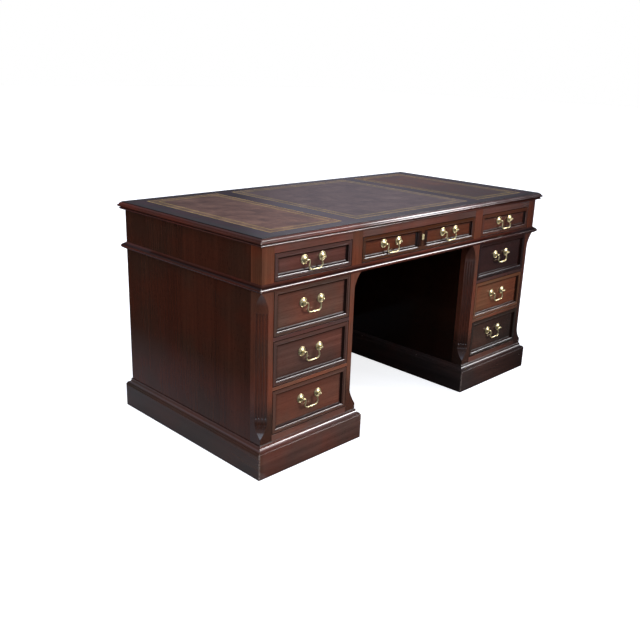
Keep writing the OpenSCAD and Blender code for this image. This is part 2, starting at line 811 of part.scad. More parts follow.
module frieze_centre_front() {
    za = frieze_open_z + front_gap;
    zb = za + frieze_front_h;
    color("brown") {
        difference() {
            board([-centre_half, y_panel, za], [centre_half, y_box, zb]);
            translate([0, y_box + eps, key_z]) rotate([90, 0, 0])
                linear_extrude(height = front_t) keyhole();
        }
        difference() {
            board([-centre_stile / 2, y_front, za], [centre_stile / 2, y_panel - glue, zb]);
            translate([0, y_panel + past, key_z]) rotate([90, 0, 0])
                linear_extrude(height = recess + 2 * past) keyhole();
        }
        front_frame(-centre_half, za, -centre_stile / 2 - glue, zb);
        front_frame(centre_stile / 2 + glue, za, centre_half, zb);
    }
}

module frieze_centre_box() {
    drawer_box(-centre_x, centre_x, frieze_open_z, frieze_front_h - side_drop / 2);
}

module keyhole_plate() {
    translate([0, y_front, key_z]) rotate([90, 0, 0]) linear_extrude(height = plate_t)
        difference() {
            union() {
                translate([0, plate_half - key_r]) circle(r = plate_r, $fn = 48);
                translate([0, -plate_half - key_r]) circle(r = 0.9 * plate_r, $fn = 48);
                translate([-plate_r / 2, -plate_half - key_r]) square([plate_r, 2 * plate_half]);
            }
            keyhole();
        }
}

module frieze_centre_plates() {
    handle_plates(-centre_handle_x, frieze_z);
    handle_plates(centre_handle_x, frieze_z);
    color("gold") keyhole_plate();
}

module centre_left_bail() { bail(-centre_handle_x, frieze_z); }
module centre_right_bail() { bail(centre_handle_x, frieze_z); }

// Lock on the back of the centre front; the bolt rises into the rail above
module lock_case() {
    color("darkgoldenrod") difference() {
        board([-lock_w / 2, lock_y, lock_top - lock_h], [lock_w / 2, lock_y + lock_t, lock_top]);
        board([-bolt_w / 2 - bolt_clear, bolt_y - bolt_clear, bolt_rest_top - bolt_h],
              [bolt_w / 2 + bolt_clear, bolt_y + bolt_t + bolt_clear, lock_top + past]);
    }
}

module lock_bolt() {
    color("gold") board([-bolt_w / 2, bolt_y, bolt_rest_top - bolt_h],
                        [bolt_w / 2, bolt_y + bolt_t, bolt_rest_top]);
}

top_board();
top_edge_moulding();
leather_left();
leather_centre();
leather_right();
frieze_case();
frieze_stiles();
frieze_rails();
frieze_runners();
waist_moulding();
modesty_panel();
left_case();
left_posts();
left_rails();
left_runners();
left_plinth();
right_case();
right_posts();
right_rails();
right_runners();
right_plinth();
frieze_left_front();
frieze_left_box();
frieze_left_plates();
frieze_left_bail();
frieze_centre_front();
frieze_centre_box();
frieze_centre_plates();
centre_left_bail();
centre_right_bail();
lock_case();
lock_bolt();
frieze_right_front();
frieze_right_box();
frieze_right_plates();
frieze_right_bail();
left_upper_front();
left_upper_box();
left_upper_plates();
left_upper_bail();
left_middle_front();
left_middle_box();
left_middle_plates();
left_middle_bail();
left_lower_front();
left_lower_box();
left_lower_plates();
left_lower_bail();
right_upper_front();
right_upper_box();
right_upper_plates();
right_upper_bail();
right_middle_front();
right_middle_box();
right_middle_plates();
right_middle_bail();
right_lower_front();
right_lower_box();
right_lower_plates();
right_lower_bail();
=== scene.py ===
import math

import bpy
from mathutils import Matrix, Vector


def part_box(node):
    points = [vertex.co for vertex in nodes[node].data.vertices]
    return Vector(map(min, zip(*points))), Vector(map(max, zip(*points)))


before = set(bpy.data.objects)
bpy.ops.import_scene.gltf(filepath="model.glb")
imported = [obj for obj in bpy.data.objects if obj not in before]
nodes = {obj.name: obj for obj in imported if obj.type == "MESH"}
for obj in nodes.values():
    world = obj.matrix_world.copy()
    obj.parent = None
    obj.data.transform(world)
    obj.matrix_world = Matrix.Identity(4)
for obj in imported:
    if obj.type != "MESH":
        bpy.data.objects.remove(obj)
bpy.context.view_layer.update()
scene = bpy.context.scene

# Lengths are in metres. The desk stands on z = 0 with its drawers towards -y.
RECESS = 0.008      # how far a drawer's panel is sunk
PANEL_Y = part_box("frieze_stiles")[0].y + RECESS
HAIR = 0.00005      # keeps a comparison clear of the panel's own face
FRAME_W = 0.020     # a drawer front's frame: border, bead, ledge and cove
BEAD_W = 0.0146     # from the frame's outer edge over border and bead
COVE_W = 0.0187     # from the same edge down to the foot of the cove
HALF_STILE = 0.012  # half of the stile between the centre drawer's panels
BOX_SIDE = 0.0125   # a drawer's side, and a little over


# ---- Node helpers ----------------------------------------------------------------------

def rgba(colour):
    """A colour, a grey number or a socket in the form that a colour input takes."""
    if isinstance(colour, bpy.types.NodeSocket):
        return colour
    if isinstance(colour, (int, float)):
        return (colour, colour, colour, 1.0)
    return (*colour[:3], 1.0)


class Graph:
    """A node tree with short calls for adding and linking."""

    def __init__(self, owner, place="Object"):
        owner.use_nodes = True
        self.tree = owner.node_tree
        self.tree.nodes.clear()
        self.coord = self.add("ShaderNodeTexCoord").outputs[place]
        self.xyz = tuple(self.add("ShaderNodeSeparateXYZ", Vector=self.coord).outputs)

    def set(self, socket, value):
        if isinstance(value, bpy.types.NodeSocket):
            self.tree.links.new(value, socket)
        else:
            socket.default_value = value

    def add(self, kind, props=None, **inputs):
        """A node with its inputs set by name."""
        node = self.tree.nodes.new(kind)
        for key, value in (props or {}).items():
            setattr(node, key, value)
        for key, value in inputs.items():
            self.set(node.inputs[key.replace("_", " ")], value)
        return node

    def put(self, kind, *inputs, **props):
        """The first output of a node with its inputs set in order."""
        node = self.add(kind, props)
        for socket, value in zip(node.inputs, inputs):
            self.set(socket, value)
        return node.outputs[0]

    def math(self, operation, *values):
        return self.put("ShaderNodeMath", *values, operation=operation)

    def scaled(self, vector, *factors):
        return self.put("ShaderNodeVectorMath", vector, factors, operation="MULTIPLY")

    def mix(self, factor, a, b, blend="MIX"):
        """Two colours mixed. The node's colour inputs are 6 and 7."""
        node = self.add("ShaderNodeMix", {"data_type": "RGBA", "blend_type": blend})
        for k, value in ((0, factor), (6, rgba(a)), (7, rgba(b))):
            self.set(node.inputs[k], value)
        return node.outputs[2]

    def mix_vector(self, factor, a, b):
        """The same for vectors, which are inputs 4 and 5."""
        node = self.add("ShaderNodeMix", {"data_type": "VECTOR"})
        for k, value in ((0, factor), (4, a), (5, b)):
            self.set(node.inputs[k], value)
        return node.outputs[1]

    def noise(self, vector, scale=1.0, detail=2.0, roughness=0.5, distortion=0.0, w=0.0):
        node = self.add("ShaderNodeTexNoise", {"noise_dimensions": "4D"}, Vector=vector,
                        W=w, Scale=scale, Detail=detail, Roughness=roughness,
                        Distortion=distortion)
        return node.outputs[0]

    def steps(self, value, low, high, out_low=0.0, out_high=1.0):
        """A smooth step from out_low at low to out_high at high."""
        return self.put("ShaderNodeMapRange", value, low, high, out_low, out_high,
                        interpolation_type="SMOOTHSTEP")

    def straight(self, value, low, high, out_low=0.0, out_high=1.0):
        """The same with a straight slope."""
        return self.put("ShaderNodeMapRange", value, low, high, out_low, out_high)

    def levels(self, value, *stops):
        """A number or a colour that follows value from 0 to 1, by (place, level) pairs."""
        node = self.add("ShaderNodeValToRGB")
        elements = node.color_ramp.elements
        while len(elements) < len(stops):
            elements.new(0.5)
        for element, (place, level) in zip(elements, stops):
            element.position = place
            element.color = rgba(level)
        self.set(node.inputs[0], value)
        return node.outputs[0]

    def profile(self, axis, low, high, *stops):
        """The levels between two coordinates on an axis."""
        place = self.straight(self.xyz["xyz".index(axis)], low, high)
        return self.levels(place, *stops)

    def line(self, distance, middle, half, soft, strength=1.0):
        """strength where distance is within half of middle, falling to 0 over soft."""
        away = self.math("ABSOLUTE", self.math("SUBTRACT", distance, middle))
        return self.steps(away, half, half + soft, strength, 0.0)

    def bump(self, height, strength, distance, **normal):
        return self.add("ShaderNodeBump", Height=height, Strength=strength,
                        Distance=distance, **normal).outputs[0]

    def principled(self, **inputs):
        self.finish(self.add("ShaderNodeBsdfPrincipled", **inputs).outputs[0])

    def finish(self, shader, kind="Material"):
        self.add("ShaderNodeOutput" + kind, Surface=shader)

    def finish_for_camera(self, shader, seen, kind="Material"):
        """The camera sees the shader called seen, and every other ray meets the first."""
        camera_ray = self.add("ShaderNodeLightPath").outputs["Is Camera Ray"]
        self.finish(self.put("ShaderNodeMixShader", camera_ray, shader, seen), kind)


# ---- Colours ---------------------------------------------------------------------------

def shade(colour, k):
    return [c * k for c in colour]


def tinted(colour, cast):
    return [c * k for c, k in zip(colour, cast)]


def tones(mid, dark=0.55, light=1.55):
    """Dark, middle and light colour of one wood."""
    return shade(mid, dark), list(mid), shade(mid, light)


CASE = tones((0.060, 0.0190, 0.0102))
POST = tones((0.142, 0.046, 0.026))
STILE = tones((0.148, 0.042, 0.020))
RAIL = tones((0.155, 0.060, 0.042))
FRONT = tones((0.105, 0.039, 0.0275))
MOULD = tones((0.095, 0.027, 0.018))
TOP = tones((0.042, 0.020, 0.024))
# the right plinth's darker tone is painted shade
PLINTHS = {"left": tones((0.110, 0.046, 0.034)), "right": tones((0.058, 0.032, 0.027))}
PLAIN = tones((0.36, 0.21, 0.11), 0.75, 1.2)     # the unstained wood inside
FRAME_CAST = (0.55, 0.80, 0.90)                 # a drawer front's frame against its panel
BROWNER, REDDER = (0.84, 1.05, 1.10), (1.15, 0.96, 0.88)
# painted shade with grime, for a drawer front's rim, ledge and cove
SHADE_AND_GRIME = (0.018, 0.007, 0.005)
BARE_WOOD = (0.46, 0.36, 0.31)
DENT = (0.42, 0.33, 0.27)
HIDE_TONES = ((0.36, (0.052, 0.021, 0.015)), (0.50, (0.100, 0.044, 0.030)),
              (0.64, (0.158, 0.076, 0.049)))
GILT = (0.80, 0.56, 0.16)


# ---- Wood ------------------------------------------------------------------------------

def along(g, axis):
    """Position with the grain's direction as the last coordinate."""
    x, y, z = g.xyz
    return g.put("ShaderNodeCombineXYZ", *{"x": (y, z, x), "y": (z, x, y), "z": (x, y, z)}[axis])


def inside(g, u, v, mid_u, mid_v, half_u, half_v):
    """How far a point lies inside a rectangle's nearest side, along u and along v."""
    return [g.math("SUBTRACT", half, g.math("ABSOLUTE", g.math("SUBTRACT", at, mid)))
            for at, mid, half in ((u, mid_u, half_u), (v, mid_v, half_v))]


def boards(g, grain, seed, rect, mirror):
    """The grain's coordinates, a number that differs from board to board, the distances
    inside rect, and 1 on a drawer front's frame. The factors of the number only have to set
    neighbours apart."""
    x, y, z = g.xyz
    if grain in ("x", "y", "z"):
        return along(g, grain), seed, None, None
    if grain == "frame":
        edges = inside(g, g.math("ABSOLUTE", x) if mirror else x, z, *rect)
        proud = g.math("LESS_THAN", y, PANEL_Y - HAIR)
        upright = g.math("MULTIPLY", g.math("LESS_THAN", *edges), proud)
        number = g.math("MULTIPLY_ADD", proud, 4.3, seed)
        return (g.mix_vector(upright, along(g, "x"), along(g, "z")),
                g.math("MULTIPLY_ADD", upright, 2.9, number), edges, proud)
    edges = inside(g, x, y, *rect)
    if grain == "ring":
        across, apart = g.math("LESS_THAN", *edges), 3.7
    else:
        across, apart = g.math("LESS_THAN", edges[0], BOX_SIDE), 2.3
    return (g.mix_vector(across, along(g, "x"), along(g, "y")),
            g.math("MULTIPLY_ADD", across, apart, seed), edges, None)


def wood(name, grain, tone, seed, gloss, rect=None, mirror=False, split=None, contrast=1.0,
         stained=True, bands=(), nicks=0.0, rubbed=0.8, coat=1.0, coat_ior=1.5, sheen=None,
         further=None):
    """Polished hardwood.

    grain: an axis, or "ring" (mitred lengths in plan round rect), "frame" (mitred lengths
        round a drawer front's panel) or "box" (a drawer's two sides, and what is between)
    tone: dark, middle and light colour of the figure
    seed: gives each node a figure of its own
    gloss: sets the polish's roughness, which varies in clouds
    rect: the middle and half the size of the ring, frame or box
    mirror: the same rect again on the other side of x = 0
    split: (axis, size, offset), another board after every size
    contrast: how far the figure's light and dark stand apart
    stained: whether the stain took unevenly
    bands: profiles of tint, each (axis, low, high, (place, tint), ...)
    nicks: the share of cells that have a small dent
    rubbed: how bare the corners of a ring are
    coat, coat_ior: how much polish there is, and how strongly it mirrors
    sheen: a profile of the polish that is left
    further: (how far, other), profiles of where other takes the place of sheen
    """
    mat = bpy.data.materials.new(name)
    g = Graph(mat)
    vector, board, edges, proud = boards(g, grain, seed, rect, mirror)
    if split:
        axis, size, offset = split
        place = g.math("DIVIDE", g.math("ADD", g.xyz["xyz".index(axis)], offset), size)
        board = g.math("MULTIPLY_ADD", g.math("FLOOR", place), 5.3, board)

    # the figure, at scales per metre across the grain, across it and along it
    dark, mid, light = tone
    broad = g.noise(g.scaled(vector, 11, 11, 1.1), detail=2.0, distortion=0.6, w=board)
    streak = g.noise(g.scaled(vector, 75, 75, 2.2), detail=5.0, roughness=0.62,
                     distortion=0.35, w=board)
    fine = g.noise(g.scaled(vector, 420, 420, 9), detail=3.0, roughness=0.6, w=board)
    pores = g.noise(g.scaled(vector, 1500, 1500, 60), detail=1.0, w=board)
    figure = g.math("ADD", g.math("MULTIPLY", broad, 0.55), g.math("MULTIPLY", streak, 0.45))
    figure = g.math("MULTIPLY_ADD", g.math("SUBTRACT", figure, 0.5), contrast, 0.5)
    colour = g.levels(figure, (0.30, dark), (0.50, mid), (0.70, light))
    colour = g.mix(g.steps(fine, 0.45, 0.70, 0.0, 0.35), colour, dark)
    if stained:
        patch = g.steps(g.noise(g.coord, scale=5.5, detail=3.0, w=seed + 9), 0.35, 0.65)
        uneven = g.mix(patch, BROWNER, REDDER)
        colour = g.mix(1.0, colour, uneven, "MULTIPLY")
    for band in bands:
        colour = g.mix(1.0, colour, g.profile(*band), "MULTIPLY")
    pore = g.steps(pores, 0.60, 0.72, 0.0, 0.55)
    colour = g.mix(pore, colour, shade(dark, 0.35))

    if grain == "frame":
        colour, coat = darkened_frame(g, colour, coat, tone, edges, proud, rect[1] + rect[3])
    if nicks:
        cells = g.add("ShaderNodeTexVoronoi", Vector=g.coord, Scale=26.0)
        chance = g.put("ShaderNodeSeparateColor", cells.outputs["Color"])
        spot = g.steps(cells.outputs["Distance"], 0.035, 0.06, 1.0, 0.0)
        rare = g.math("GREATER_THAN", chance, 1.0 - nicks)
        colour = g.mix(g.math("MULTIPLY", spot, rare), colour, DENT)
    if sheen:
        left = g.profile(*sheen)
        if further:
            how_far, other = further
            left = g.mix(g.profile(*how_far), left, g.profile(*other))
        coat = g.math("MULTIPLY", left, coat)
    if grain == "ring":
        # bare wood where the arris of each corner is rubbed through
        chips = g.noise(g.coord, scale=240.0, w=seed)
        bare = g.math("MULTIPLY", g.steps(g.math("MAXIMUM", *edges), 0.0025, 0.0060, 1.0, 0.0),
                      g.steps(chips, 0.42, 0.55, 0.15 * rubbed, rubbed))
        colour = g.mix(bare, colour, BARE_WOOD)
    # painted shade: quirks and joints are darkened where little light reaches them, and old
    # polish and dust also gather there
    occlusion_shade = g.add("ShaderNodeAmbientOcclusion", {"samples": 6}, Distance=0.009).outputs["AO"]
    colour = g.mix(g.steps(occlusion_shade, 0.30, 0.80, 0.85, 0.0), colour, shade(dark, 0.2))

    cloud = g.noise(g.coord, scale=9.0, detail=4.0, w=seed)
    wavy = g.noise(g.coord, scale=7.0, detail=0.0, w=seed)
    soft = g.add("ShaderNodeBevel", {"samples": 4}, Radius=0.0004).outputs[0]
    normal = g.bump(pore, 0.06, 0.0001, Normal=g.bump(wavy, 0.10, 0.002, Normal=soft))
    # only the polish mirrors, not the wood under it
    rough = g.steps(cloud, 0.3, 0.7, gloss * 0.35, gloss * 0.55)
    g.principled(Base_Color=colour, Roughness=0.5, Specular_IOR_Level=0.0, Normal=normal,
                 Coat_Weight=coat, Coat_Roughness=rough, Coat_IOR=coat_ior,
                 Coat_Normal=normal)
    return mat


def darkened_frame(g, colour, coat, tone, edges, proud, top):
    """Painted shade round a drawer's panel, a darker frame that is darkest at its rim, ledge and
    cove (painted shadow in the rim's gap, painted shade with grime on ledge and cove), and
    little polish left on ledge, cove and the frame's upper length. top is the height of the
    frame's upper edge."""
    dark, mid, _ = tone
    inner = g.math("MINIMUM", *edges)
    # painted shade on the panel where it meets the frame
    close = g.steps(inner, FRAME_W - 0.0005, FRAME_W + 0.009, 1.0, 0.0)
    panel_shade = g.math("MULTIPLY", close, g.math("SUBTRACT", 1.0, proud))
    colour = g.mix(g.math("MULTIPLY", panel_shade, 0.55), colour, shade(dark, 0.5))
    colour = g.mix(g.math("MULTIPLY", proud, 0.6), colour, tinted(mid, FRAME_CAST))
    rim = g.steps(inner, 0.0006, 0.0022, 0.7, 0.0)
    ledge = g.math("MULTIPLY", proud, g.steps(inner, BEAD_W - 0.0004, BEAD_W + 0.0004))
    # painted shadow in the gap at the rim, painted shade with grime on ledge and cove
    colour = g.mix(g.math("MAXIMUM", rim, g.math("MULTIPLY", ledge, 0.9)), colour, SHADE_AND_GRIME)
    sunk = g.math("MULTIPLY", ledge, g.steps(inner, COVE_W - 0.0005, COVE_W + 0.0005, 1.0, 0.5))
    over = g.math("GREATER_THAN", g.xyz[2], top - FRAME_W - 0.0005)
    upper = g.math("MULTIPLY", g.math("MULTIPLY", over, proud), g.steps(edges[0], 0.009, 0.011))
    return colour, g.math("MULTIPLY_ADD", g.math("MAXIMUM", sunk, upper), -0.95 * coat, coat)


# ---- Leather and brass -----------------------------------------------------------------

# the leathers' tooling, measured in from their edges
GILT_LINES = (0.005, 0.032)
LINE_HALF, LINE_SOFT = 0.0017, 0.0006
ARCH_PITCH, ARCH_FOOT, ARCH_RISE = 0.012, 0.0135, 0.009


def leather(name, node, seed, cast, fade):
    """Mottled brown hide with gilt lines and a tooled band round its edge. fade is the
    (place, share) pairs of its colour from front to back, a painted reflection."""
    mat = bpy.data.materials.new(name)
    g = Graph(mat)
    x, y, _ = g.xyz
    edges = inside(g, x, y, *rect_of(node))
    d = g.math("MINIMUM", *edges)
    mottle = g.noise(g.coord, scale=13.0, detail=5.0, roughness=0.6, distortion=0.4, w=seed)
    small = g.noise(g.coord, scale=95.0, detail=3.0, roughness=0.6, w=seed)
    hide = g.levels(g.math("ADD", g.math("MULTIPLY", mottle, 0.65),
                           g.math("MULTIPLY", small, 0.35)),
                    *((place, tinted(colour, cast)) for place, colour in HIDE_TONES))
    front, rear = (corner.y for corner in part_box(node))
    hide = g.mix(1.0, hide, g.profile("y", front, rear, *fade), "MULTIPLY")
    outer, inner = (g.line(d, middle, LINE_HALF, LINE_SOFT) for middle in GILT_LINES)
    # faint tooled band between the two lines: a row of small arches along the edge
    run = g.math("MULTIPLY_ADD", g.math("LESS_THAN", *edges), g.math("SUBTRACT", y, x), x)
    arch = g.math("ABSOLUTE", g.math("SINE", g.math("MULTIPLY", run, math.pi / ARCH_PITCH)))
    wave = g.math("MULTIPLY_ADD", arch, ARCH_RISE, ARCH_FOOT)
    arches = g.line(d, wave, 0.0005, 0.0007, strength=0.45)
    worn = g.steps(g.noise(g.coord, scale=60.0, detail=4.0, w=seed + 3), 0.35, 0.6, 0.45, 1.0)
    gilt = g.math("MULTIPLY", g.math("MAXIMUM", g.math("MAXIMUM", outer, inner), arches), worn)
    pebble = g.add("ShaderNodeTexVoronoi", {"feature": "DISTANCE_TO_EDGE"},
                   Vector=g.coord, Scale=620.0).outputs["Distance"]
    creases = g.noise(g.coord, scale=34.0, detail=6.0, roughness=0.7, w=seed)
    height = g.math("ADD", g.math("MULTIPLY", pebble, 0.5), g.math("MULTIPLY", creases, 0.8))
    height = g.math("SUBTRACT", height, g.math("MULTIPLY", gilt, 0.6))
    g.principled(Base_Color=g.mix(gilt, hide, GILT),
                 Roughness=g.steps(mottle, 0.3, 0.7, 0.28, 0.42),
                 Normal=g.bump(height, 0.35, 0.0006),
                 Metallic=g.math("MULTIPLY", gilt, 0.5))
    return mat


def brass(name, colour, rough):
    """Brass with clouds of darker and rougher metal."""
    mat = bpy.data.materials.new(name)
    g = Graph(mat)
    cloud = g.noise(g.coord, scale=90.0, detail=4.0)
    fine = g.noise(g.coord, scale=900.0)
    g.principled(Base_Color=g.mix(g.steps(cloud, 0.35, 0.7), colour, shade(colour, 0.78)),
                 Metallic=0.85, Normal=g.bump(fine, 0.08, 0.0002),
                 Roughness=g.steps(cloud, 0.3, 0.7, rough * 0.8, rough * 1.4))
    return mat


# ---- Materials onto the CAD nodes ------------------------------------------------------

def dress(name, material):
    """Put the material into every slot of a node."""
    if not nodes[name].material_slots:
        nodes[name].data.materials.append(material)
    for slot in nodes[name].material_slots:
        slot.material = material


def rect_of(node, axes="xy"):
    """The middle and half the size of a node's box along two axes."""
    ends = [[corner["xyz".index(axis)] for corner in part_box(node)] for axis in axes]
    return [(a + b) / 2 for a, b in ends] + [(b - a) / 2 for a, b in ends]


# painted shade: darker towards the right-hand end, and on the mouldings sooner
END = ("x", 0.45, 0.78, (0.0, 1.0), (0.5, 0.6), (1.0, 0.28))
LONG_END = ("x", 0.15, 0.78, (0.0, 1.0), (0.30, 0.62), (1.0, 0.25))

dress("top_board", wood("wood_top", "x", TOP, 1.0, 0.26))

# Near the left-hand end the polish has gone from the edge's nose. Further right it has
# stayed there and gone from the small bead below. The flat upper face matches the top.
edge = ("z", *(corner.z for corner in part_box("top_edge_moulding")))
dress("top_edge_moulding", wood(
    "wood_edge", "ring", MOULD, 2.0, 0.24, rect=rect_of("top_edge_moulding"), coat_ior=1.6,
    bands=[LONG_END, (*edge, (0.0, 1.0), (0.91, 1.0), (0.94, (0.30, 0.75, 1.0)),
                      (1.0, (0.30, 0.75, 1.0)))],
    sheen=(*edge, (0.0, 0.8), (0.25, 0.8), (0.31, 0.10), (0.60, 0.10), (0.72, 0.30),
           (0.91, 0.30), (0.94, 1.0), (1.0, 1.0)),
    further=(("x", -0.45, -0.10, (0.0, 0.0), (0.3, 0.0), (1.0, 1.0)),
             (*edge, (0.0, 0.08), (0.26, 0.10), (0.42, 1.0), (1.0, 1.0)))))
# the waist moulding is dull above the middle of its nose, and dark on the nose's upper side,
# which is painted shade
waist = ("z", *(corner.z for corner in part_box("waist_moulding")))
dress("waist_moulding", wood(
    "wood_waist", "ring", MOULD, 3.0, 0.22, rect=rect_of("waist_moulding"), coat_ior=1.7,
    bands=[LONG_END, (*waist, (0.50, 1.0), (0.58, 0.3), (0.75, 0.3), (0.90, 1.0))],
    sheen=(*waist, (0.0, 0.8), (0.48, 0.8), (0.58, 0.2), (1.0, 0.15))))

dress("frieze_case", wood("wood_frieze_case", "z", CASE, 4.0, 0.3, contrast=0.7))
dress("modesty_panel", wood("wood_modesty", "z", CASE, 5.0, 0.32))
dress("frieze_stiles", wood(
    "wood_stiles", "z", STILE, 6.0, 0.28, split=("x", 0.11, 0.8),
    bands=[END, ("x", -0.72, -0.20, (0.0, 1.0), (0.2, 0.78), (0.8, 0.78), (1.0, 1.0))]))
# painted shade: the frieze rails are darker, the lower one most
dress("frieze_rails", wood(
    "wood_frieze_rails", "x", RAIL, 7.0, 0.28,
    bands=[END, ("z", 0.60, 0.74, (0.0, 0.7), (1.0, (0.8, 0.75, 0.75)))]))
dress("frieze_runners", wood("wood_frieze_runners", "y", PLAIN, 8.0, 0.55, stained=False))

# each rail came from another board
RAIL_BOARDS = ("z", 0.0, 0.60, (0.0, (0.75, 0.86, 0.90)), (0.40, (0.75, 0.86, 0.90)),
               (0.42, (1.20, 1.15, 0.95)), (0.60, (1.20, 1.15, 0.95)),
               (0.62, (0.62, 0.66, 0.76)), (1.0, (0.62, 0.66, 0.76)))
# painted shade: the kneehole's walls are darkened on the surface
SKIN = 0.004
wall_left, wall_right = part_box("left_case")[1].x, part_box("right_case")[0].x
KNEEHOLE_SHADE = {"left": ("x", wall_left - SKIN, wall_left, (0.0, 1.0), (0.7, 0.25)),
            "right": ("x", wall_right, wall_right + SKIN, (0.3, 0.25), (1.0, 1.0))}
plinth_end, plinth_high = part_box("left_plinth")[0].x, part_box("left_plinth")[1].z
PLINTH_COAT = {"left": 1.0, "right": 0.5}
for k, side in enumerate(("left", "right")):
    dress(side + "_case", wood(f"wood_{side}_case", "z", CASE, 9.0 + k, 0.3, contrast=0.6,
                               bands=[KNEEHOLE_SHADE[side]]))
    # painted shade: the posts darken towards the right-hand end; painted reflection: their feet
    # darker and bluer, for the cool sky mirrored there
    dress(side + "_posts", wood(
        f"wood_{side}_posts", "z", POST, 11.0 + k, 0.27, split=("x", 0.2, 0.04), coat_ior=1.75,
        bands=[END, ("x", 0.0, 0.4, (0.0, 1.0), (1.0, 0.8)),
               ("z", 0.10, 0.30, (0.0, (0.34, 0.42, 0.45)), (0.45, (0.38, 0.46, 0.50)),
                (0.75, 1.0))]))
    dress(side + "_rails", wood(f"wood_{side}_rails", "x", RAIL, 13.0 + k, 0.28,
                                bands=[END, RAIL_BOARDS], split=("z", 0.16, 0.0)))
    dress(side + "_runners", wood(f"wood_{side}_runners", "y", PLAIN, 15.0 + k, 0.55,
                                  stained=False))
    dress(side + "_plinth", wood(
        f"wood_{side}_plinth", "ring", PLINTHS[side], 17.0 + k, 0.34,
        rect=rect_of(side + "_plinth"), nicks=0.12, rubbed=0.3, coat=PLINTH_COAT[side],
        bands=[END, ("z", 0.0, plinth_high, (0.0, 0.55), (0.8, 1.0)),
               ("x", plinth_end, plinth_end + 0.02, (0.0, (0.62, 0.70, 0.58)), (1.0, 1.0))],
        coat_ior=1.6,
        sheen=("z", 0.0, plinth_high, (0.0, 1.0), (0.73, 1.0), (0.77, 0.3), (0.86, 0.3),
               (0.91, 1.0), (1.0, 1.0))))

# the cast of each leather, partly its own colour and partly painted light: the centre's blue is
# a painted reflection of the sky. How its colour fades from front to back is painted reflection.
HIDE = {"left": (1.95, 2.05, 1.95), "centre": (1.20, 1.62, 2.05), "right": (0.92, 0.66, 0.42)}
FADE = {"left": ((0.0, 1.0), (0.5, 0.85), (1.0, 0.62)), "centre": ((0.0, 1.0), (1.0, 1.0)),
        "right": ((0.0, 0.5), (0.35, 0.6), (0.6, 1.0), (1.0, 1.0))}
for k, side in enumerate(("left", "centre", "right")):
    dress("leather_" + side, leather("hide_" + side, "leather_" + side, 1.0 + 2 * k,
                                     HIDE[side], FADE[side]))

bright_brass = brass("brass_handles", (0.74, 0.62, 0.34), 0.28)
for n in nodes:
    if n.endswith("_plates") or n.endswith("_bail"):
        dress(n, bright_brass)
dress("lock_case", brass("brass_lock", (0.62, 0.47, 0.25), 0.42))
dress("lock_bolt", brass("brass_bolt", (0.70, 0.55, 0.30), 0.3))

# some fronts came out of the polish darker or redder than the rest, and on the right pedestal
# their tones are partly painted shade and light
FRONT_TONE_AND_SHADE = {"right_upper_front": (0.36, 0.32, 0.36), "right_lower_front": (0.45, 0.62, 0.62),
         "right_middle_front": (1.85, 1.60, 1.05), "frieze_right_front": (1.1, 0.75, 0.55),
         "frieze_centre_front": (0.87, 0.66, 0.40), "frieze_left_front": (0.92, 1.0, 1.08),
         "left_upper_front": (1.0, 1.07, 1.0), "left_middle_front": (1.05, 1.1, 1.1),
         "left_lower_front": (1.15, 1.20, 1.1)}
for k, n in enumerate(sorted(FRONT_TONE_AND_SHADE)):
    rect = rect_of(n, "xz")
    twin = n == "frieze_centre_front"
    if twin:
        # two panels: the frame's rule on each half, over the width that the stile shares
        far, shared = rect[0] + rect[2], FRAME_W - HALF_STILE
        rect[0], rect[2] = (far - shared) / 2, (far + shared) / 2
    dress(n, wood("wood_" + n, "frame", [tinted(each, FRONT_TONE_AND_SHADE[n]) for each in FRONT], 20.0 + k,
                  0.26, rect=rect, mirror=twin, bands=[END], coat_ior=1.62))
for k, n in enumerate(sorted(n for n in nodes if n.endswith("_box"))):
    dress(n, wood("wood_" + n, "box", PLAIN, 40.0 + k, 0.5, rect=rect_of(n), stained=False))

# ---- Camera at the photograph's angle --------------------------------------------------

# found by fitting the desk's box to the photograph
IMAGE_PX = 640
FOCAL_PX = 776.763
DISTANCE = 3.046726
azimuth, elevation, roll = (math.radians(a) for a in (-45.388, 18.131, 2.028))
target = Vector((-0.091664, 0.040162, 0.279767))
back = Vector((math.sin(azimuth) * math.cos(elevation),
               -math.cos(azimuth) * math.cos(elevation), math.sin(elevation)))
right = (-back).cross(Vector((0, 0, 1))).normalized()
up = right.cross(-back)
cam_x = right * math.cos(roll) + up * math.sin(roll)
cam_y = up * math.cos(roll) - right * math.sin(roll)
lens = bpy.data.cameras.new("camera")
lens.sensor_width = 36.0
lens.lens = FOCAL_PX / IMAGE_PX * lens.sensor_width
camera = bpy.data.objects.new("camera", lens)
camera.matrix_world = (Matrix.Translation(target + back * DISTANCE)
                       @ Matrix((cam_x, cam_y, back)).transposed().to_4x4())
scene.collection.objects.link(camera)
scene.camera = camera
scene.view_settings.view_transform = "Standard"

# ---- Floor: white to the camera, darker to the object ----------------------------------

FLOOR_GREY = 0.05       # under the desk and to its right
LEFT_END = -0.72        # where that ends
bpy.ops.mesh.primitive_plane_add(size=60, location=(0, 0, -0.0005))
floor = bpy.context.object
floor.name = "floor"
ground = bpy.data.materials.new("floor")
floor.data.materials.append(ground)
g = Graph(ground)
x, y, _ = g.xyz
